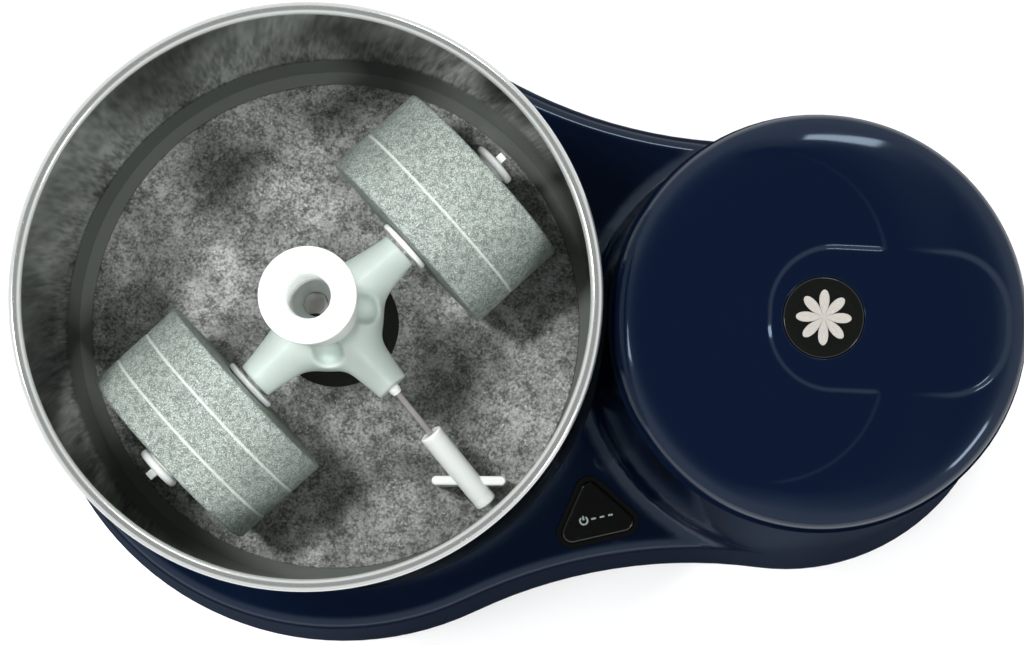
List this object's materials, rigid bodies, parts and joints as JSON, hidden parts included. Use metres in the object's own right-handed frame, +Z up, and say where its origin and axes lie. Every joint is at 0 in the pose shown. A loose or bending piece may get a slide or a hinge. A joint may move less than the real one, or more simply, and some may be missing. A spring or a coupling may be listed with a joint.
{
  "type": "table-top wet grinder",
  "caption": "Table-top wet grinder: a steel drum with a granite floor on a dark base, roller stones on a three-armed holder with a wiper, and a motor tower with a domed cap beside it.",
  "frame": {"origin": "on the table, under the middle of the whole machine's box", "axes": "+X runs from the drum to the motor tower, +Y to the back, +Z up out of the drum"},
  "size_m": [0.4584, 0.291, 0.208],
  "materials": {
    "navy_shell": "high gloss moulded plastic, very dark navy blue",
    "navy_cap": "high gloss moulded plastic, very dark navy blue",
    "black_gloss": "black gloss",
    "silver_emblem": "bright silver",
    "drum_steel": "polished stainless steel",
    "floor_granite": "ground granite, mottled grey",
    "roller_granite": "ground granite, light grey with fine dark specks",
    "black_seal": "black",
    "black_plastic": "satin black",
    "mint_plastic": "satin white with a faint mint tint",
    "white_plastic": "satin white",
    "bright_steel": "bright turned steel",
    "bearing_steel": "ground steel",
    "plain_bush": "natural nylon",
    "cast_aluminium": "as cast",
    "sheet_steel": "zinc-plated and painted",
    "lamination": "laminated steel",
    "copper_winding": "varnished copper",
    "belt_rubber": "black",
    "foot_rubber": "black",
    "zinc_screw": "zinc plated"
  },
  "bodies": {
    "base": {"base_shell": "navy_shell", "base_plate": "black_plastic", "rubber_feet": "foot_rubber", "base_screws": "zinc_screw", "tower_cap": "navy_cap", "medallion": "black_gloss", "medallion_emblem": "silver_emblem", "button_bezel": "black_gloss", "micro_switch": "black_plastic", "inlet_gland": "black_plastic", "motor_bracket": "sheet_steel", "motor_mounts": "foot_rubber", "motor_screws": "zinc_screw", "lower_end_cap": "cast_aluminium", "upper_end_cap": "cast_aluminium", "lower_motor_bearing": "bearing_steel", "upper_motor_bearing": "bearing_steel", "stator_core": "lamination", "stator_coils": "copper_winding", "capacitor": "cast_aluminium", "capacitor_strap": "sheet_steel", "drive_belt": "belt_rubber", "spindle_pedestal": "cast_aluminium", "lower_spindle_bearing": "bearing_steel", "upper_spindle_bearing": "bearing_steel"},
    "button": {"press_button": "black_gloss"},
    "motor_rotor": {"rotor_core": "lamination", "motor_shaft": "bright_steel", "motor_fan": "black_plastic", "motor_pulley": "cast_aluminium"},
    "spindle": {"driven_pulley": "black_plastic", "spindle_tube": "bright_steel", "drive_dog": "cast_aluminium"},
    "post": {"centre_post": "bright_steel"},
    "drum": {"drum_shell": "drum_steel", "drum_floor_stone": "floor_granite", "drum_seal_ring": "black_seal", "drum_stem": "black_plastic", "stem_bush": "plain_bush", "drum_coupling": "cast_aluminium"},
    "roller_holder": {"roller_frame": "mint_plastic", "first_axle": "bright_steel", "second_axle": "bright_steel", "first_inner_flange": "white_plastic", "second_inner_flange": "white_plastic", "first_outer_cap": "white_plastic", "second_outer_cap": "white_plastic", "first_axle_pin": "white_plastic", "second_axle_pin": "white_plastic", "wiper_ferrule": "white_plastic", "wiper_rod": "bright_steel"},
    "knob": {"lock_knob": "white_plastic"},
    "first_roller": {"first_roller_stone": "roller_granite", "first_roller_bush": "plain_bush"},
    "second_roller": {"second_roller_stone": "roller_granite", "second_roller_bush": "plain_bush"},
    "wiper": {"wiper_sleeve": "white_plastic", "wiper_blade": "white_plastic"}
  },
  "joints": [
    {"name": "button_press", "type": "slide", "parent": "base", "child": "button", "axis": [0, 0, -1], "range_m": [0, 0.0025], "stiffness_N_per_m": 600, "springref_m": -0.001},
    {"name": "motor_spin", "type": "hinge", "parent": "base", "child": "motor_rotor", "pos_m": [0.12625, 0, 0.08], "axis": [0, 0, 1], "continuous": true},
    {"name": "spindle_spin", "type": "hinge", "parent": "base", "child": "spindle", "pos_m": [-0.08375, 0, 0.025], "axis": [0, 0, 1], "continuous": true},
    {"name": "drum_lift", "type": "slide", "parent": "base", "child": "post", "axis": [0, 0, 1], "range_m": [0, 0.22]},
    {"name": "drum_spin", "type": "hinge", "parent": "post", "child": "drum", "pos_m": [-0.08375, 0, 0.06], "axis": [0, 0, 1], "continuous": true},
    {"name": "holder_lift", "type": "slide", "parent": "post", "child": "roller_holder", "axis": [0, 0, 1], "range_m": [0, 0.16]},
    {"name": "knob_turn", "type": "hinge", "parent": "roller_holder", "child": "knob", "pos_m": [-0.08375, 0, 0.18], "axis": [0, 0, 1], "range_deg": [0, 90]},
    {"name": "first_roller_spin", "type": "hinge", "parent": "roller_holder", "child": "first_roller", "pos_m": [-0.08375, 0, 0.1099], "axis": [0.7071, 0.7071, 0], "continuous": true},
    {"name": "second_roller_spin", "type": "hinge", "parent": "roller_holder", "child": "second_roller", "pos_m": [-0.08375, 0, 0.1099], "axis": [-0.7071, -0.7071, 0], "continuous": true},
    {"name": "wiper_turn", "type": "hinge", "parent": "roller_holder", "child": "wiper", "pos_m": [-0.05483, -0.02892, 0.113], "axis": [0.6302, -0.7123, -0.309], "range_deg": [-6, 6]}
  ],
  "couplings": [
    {"joint": "spindle_spin", "follows": "drum_spin", "ratio": 1},
    {"joint": "motor_spin", "follows": "drum_spin", "ratio": 6},
    {"joint": "first_roller_spin", "follows": "drum_spin", "ratio": 1.5},
    {"joint": "second_roller_spin", "follows": "drum_spin", "ratio": 1.5}
  ]
}
